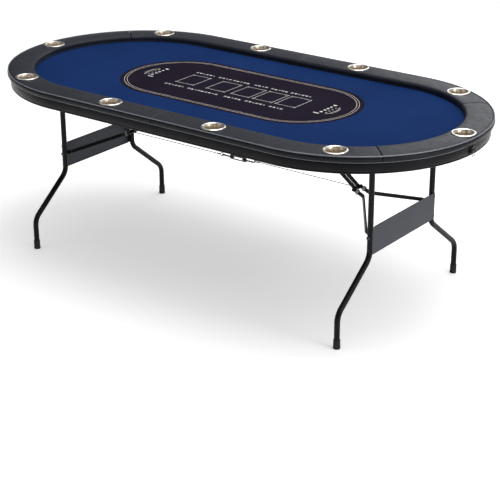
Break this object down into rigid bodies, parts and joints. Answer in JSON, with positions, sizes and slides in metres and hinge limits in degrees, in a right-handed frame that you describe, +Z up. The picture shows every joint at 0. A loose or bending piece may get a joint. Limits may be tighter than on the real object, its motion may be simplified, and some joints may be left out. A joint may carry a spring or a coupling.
{
  "type": "folding card table",
  "caption": "Oval card table with a padded rail and metal cup holders, which folds in half across the middle, on fold-in wishbone legs with knee braces and a tie cable.",
  "frame": {"origin": "on the floor, under the middle of the unfolded top", "axes": "+X along the top towards the latch end, +Y across it, +Z up"},
  "size_m": [2.134, 1.067, 0.7642],
  "materials": {
    "rail_leatherette": "soft padded leatherette, fine grain",
    "side_leatherette": "tight leatherette over board, fine grain",
    "cloth": "short-pile speed cloth with a printed field",
    "deck_board": "stained plywood",
    "painted_wood": "black painted wood",
    "cup_metal": "spun, brushed inside and polished lip",
    "powder_coat": "black powder coat, slight orange peel",
    "panel_paint": "satin slate paint",
    "rubber": "matt moulded rubber",
    "zinc": "dull zinc plating",
    "bright_zinc": "bright plating",
    "wire_rope": "laid wire strands",
    "latch_steel": "black enamel"
  },
  "bodies": {
    "left_half": {"left_deck": "deck_board", "left_cloth": "cloth", "left_apron": "side_leatherette", "left_batten": "painted_wood", "left_rail_front": "rail_leatherette", "left_rail_end": "rail_leatherette", "left_rail_back": "rail_leatherette", "left_cup_1": "cup_metal", "left_cup_2": "cup_metal", "left_cup_3": "cup_metal", "left_cup_4": "cup_metal", "left_cup_5": "cup_metal", "left_leg_brackets": "powder_coat", "left_arm_brackets": "powder_coat", "left_hinge_leaves": "zinc", "hinge_pins": "zinc", "latch_keeper": "latch_steel"},
    "left_leg": {"left_leg_front": "powder_coat", "left_leg_back": "powder_coat", "left_leg_axle": "zinc", "left_leg_panel": "panel_paint", "left_leg_bolts": "zinc", "left_leg_feet": "rubber"},
    "left_upper_brace": {"left_upper_arms": "powder_coat", "left_knee_pin": "zinc"},
    "left_lower_brace": {"left_lower_arms": "powder_coat"},
    "left_collars": {"left_lock_rings": "bright_zinc"},
    "left_cable_end": {"left_cable": "wire_rope", "turnbuckle_eye": "zinc"},
    "right_half": {"right_deck": "deck_board", "right_cloth": "cloth", "right_apron": "side_leatherette", "right_batten": "painted_wood", "right_rail_front": "rail_leatherette", "right_rail_end": "rail_leatherette", "right_rail_back": "rail_leatherette", "right_cup_1": "cup_metal", "right_cup_2": "cup_metal", "right_cup_3": "cup_metal", "right_cup_4": "cup_metal", "right_cup_5": "cup_metal", "right_leg_brackets": "powder_coat", "right_arm_brackets": "powder_coat", "right_hinge_leaves": "zinc", "latch_base": "latch_steel"},
    "right_leg": {"right_leg_front": "powder_coat", "right_leg_back": "powder_coat", "right_leg_axle": "zinc", "right_leg_panel": "panel_paint", "right_leg_bolts": "zinc", "right_leg_feet": "rubber"},
    "right_upper_brace": {"right_upper_arms": "powder_coat", "right_knee_pin": "zinc"},
    "right_lower_brace": {"right_lower_arms": "powder_coat"},
    "right_collars": {"right_lock_rings": "bright_zinc"},
    "right_cable_end": {"right_cable": "wire_rope"},
    "turnbuckle": {"turnbuckle_body": "zinc"},
    "turnbuckle_screw": {"turnbuckle_hook": "zinc"},
    "latch_lever": {"latch_lever": "latch_steel"},
    "latch_bail": {"latch_bail": "zinc"}
  },
  "joints": [
    {"name": "table_fold", "type": "hinge", "parent": "left_half", "child": "right_half", "pos_m": [0, 0, 0.685], "axis": [0, 1, 0], "range_deg": [0, 75]},
    {"name": "left_leg_fold", "type": "hinge", "parent": "left_half", "child": "left_leg", "pos_m": [-0.77, 0, 0.7025], "axis": [0, -1, 0], "range_deg": [0, 90]},
    {"name": "left_upper_brace_turn", "type": "hinge", "parent": "left_half", "child": "left_upper_brace", "pos_m": [-0.24, 0, 0.7025], "axis": [0, -1, 0], "range_deg": [-37.89, 0.5]},
    {"name": "left_lower_brace_turn", "type": "hinge", "parent": "left_leg", "child": "left_lower_brace", "pos_m": [-0.77, 0, 0.37], "axis": [0, -1, 0], "range_deg": [-0.5, 68.5]},
    {"name": "left_cable_turn", "type": "hinge", "parent": "left_upper_brace", "child": "left_cable_end", "pos_m": [-0.56867, 0, 0.45134], "axis": [0, -1, 0], "range_deg": [-0.5, 37.89]},
    {"name": "left_collar_slide", "type": "slide", "parent": "left_lower_brace", "child": "left_collars", "axis": [-0.9272, 0, -0.3746], "range_m": [0, 0.013]},
    {"name": "right_leg_fold", "type": "hinge", "parent": "right_half", "child": "right_leg", "pos_m": [0.77, 0, 0.7025], "axis": [0, 1, 0], "range_deg": [0, 90]},
    {"name": "right_upper_brace_turn", "type": "hinge", "parent": "right_half", "child": "right_upper_brace", "pos_m": [0.24, 0, 0.7025], "axis": [0, 1, 0], "range_deg": [-37.89, 0.5]},
    {"name": "right_lower_brace_turn", "type": "hinge", "parent": "right_leg", "child": "right_lower_brace", "pos_m": [0.77, 0, 0.37], "axis": [0, 1, 0], "range_deg": [-0.5, 68.5]},
    {"name": "right_cable_turn", "type": "hinge", "parent": "right_upper_brace", "child": "right_cable_end", "pos_m": [0.56867, 0, 0.45134], "axis": [0, 1, 0], "range_deg": [-0.5, 37.89]},
    {"name": "right_collar_slide", "type": "slide", "parent": "right_lower_brace", "child": "right_collars", "axis": [0.9272, 0, -0.3746], "range_m": [0, 0.013]},
    {"name": "turnbuckle_spin", "type": "hinge", "parent": "left_cable_end", "child": "turnbuckle", "pos_m": [0, -0.006, 0.45134], "axis": [1, 0, 0], "range_deg": [-2, 722]},
    {"name": "turnbuckle_screw_slide", "type": "slide", "parent": "left_cable_end", "child": "turnbuckle_screw", "axis": [1, 0, 0], "range_m": [0, 0.004]},
    {"name": "latch_lever_turn", "type": "hinge", "parent": "right_half", "child": "latch_lever", "pos_m": [1.0606, -0.015, 0.706], "axis": [0, 1, 0], "range_deg": [0, 110]},
    {"name": "latch_bail_turn", "type": "hinge", "parent": "latch_lever", "child": "latch_bail", "pos_m": [1.0638, -0.015, 0.7125], "axis": [0, -1, 0], "range_deg": [-1, 112]}
  ],
  "couplings": [
    {"joint": "left_upper_brace_turn", "follows": "left_leg_fold", "ratio": -0.4154},
    {"joint": "left_lower_brace_turn", "follows": "left_leg_fold", "ratio": 0.75556},
    {"joint": "left_cable_turn", "follows": "left_leg_fold", "ratio": 0.4154},
    {"joint": "right_upper_brace_turn", "follows": "right_leg_fold", "ratio": -0.4154},
    {"joint": "right_lower_brace_turn", "follows": "right_leg_fold", "ratio": 0.75556},
    {"joint": "right_cable_turn", "follows": "right_leg_fold", "ratio": 0.4154},
    {"joint": "latch_bail_turn", "follows": "latch_lever_turn", "ratio": 1},
    {"joint": "turnbuckle_spin", "follows": "turnbuckle_screw_slide", "rad_per_m": 3141.6}
  ]
}
